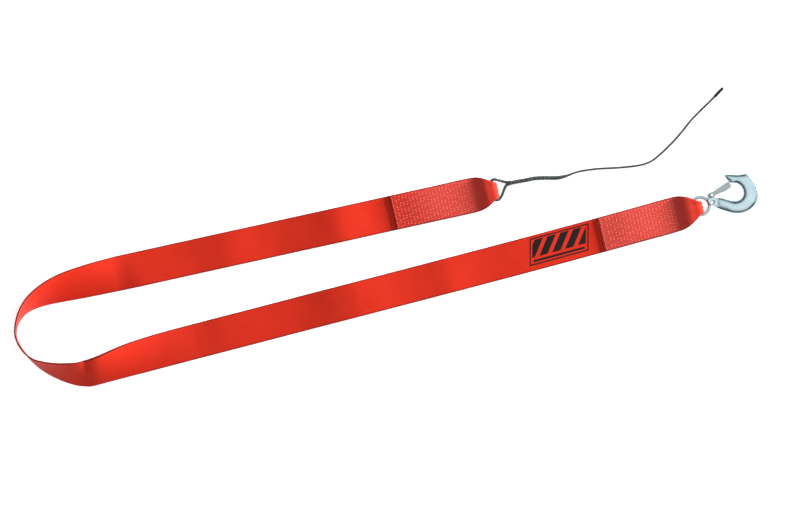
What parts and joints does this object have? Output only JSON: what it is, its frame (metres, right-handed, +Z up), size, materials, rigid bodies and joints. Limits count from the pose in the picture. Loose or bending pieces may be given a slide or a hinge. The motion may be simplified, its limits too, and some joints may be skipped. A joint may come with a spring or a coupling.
{
  "type": "snow plow lift strap",
  "caption": "Flat webbing strap lying in a U, with a sewn eye at each end: one holds a forged slip hook with a sprung latch, the other a short rope for a winch drum.",
  "frame": {"origin": "on the floor, at the centre of the footprint of the strap and its hook, leaving the rope out", "axes": "+X along the two runs of webbing, towards the hook and the drum eye; +Y from the hook's run to the drum's run; +Z up"},
  "size_m": [1.0828, 0.2089, 0.0501],
  "materials": {
    "polyester_webbing": "matte",
    "zinc_plated_steel": "satin",
    "latch_steel": "satin",
    "spring_steel": "satin",
    "braided_rope": "matte",
    "shrink_sleeve": "satin"
  },
  "bodies": {
    "strap": {"webbing": "polyester_webbing", "rope": "braided_rope", "tip_sleeve": "shrink_sleeve"},
    "hook": {"hook_body": "zinc_plated_steel", "latch_rivet": "latch_steel"},
    "latch": {"latch": "latch_steel", "latch_spring": "spring_steel"}
  },
  "joints": [
    {"name": "hook_turn", "type": "hinge", "parent": "strap", "child": "hook", "pos_m": [0.4542, -0.03292, 0.0062], "axis": [0, 0, 1], "range_deg": [-60, 60]},
    {"name": "latch_pivot", "type": "hinge", "parent": "hook", "child": "latch", "pos_m": [0.47197, -0.02186, 0.0062], "axis": [0, 0, 1], "range_deg": [-24, 0], "stiffness_Nm_per_rad": 0.02, "springref_deg": 11.46}
  ]
}
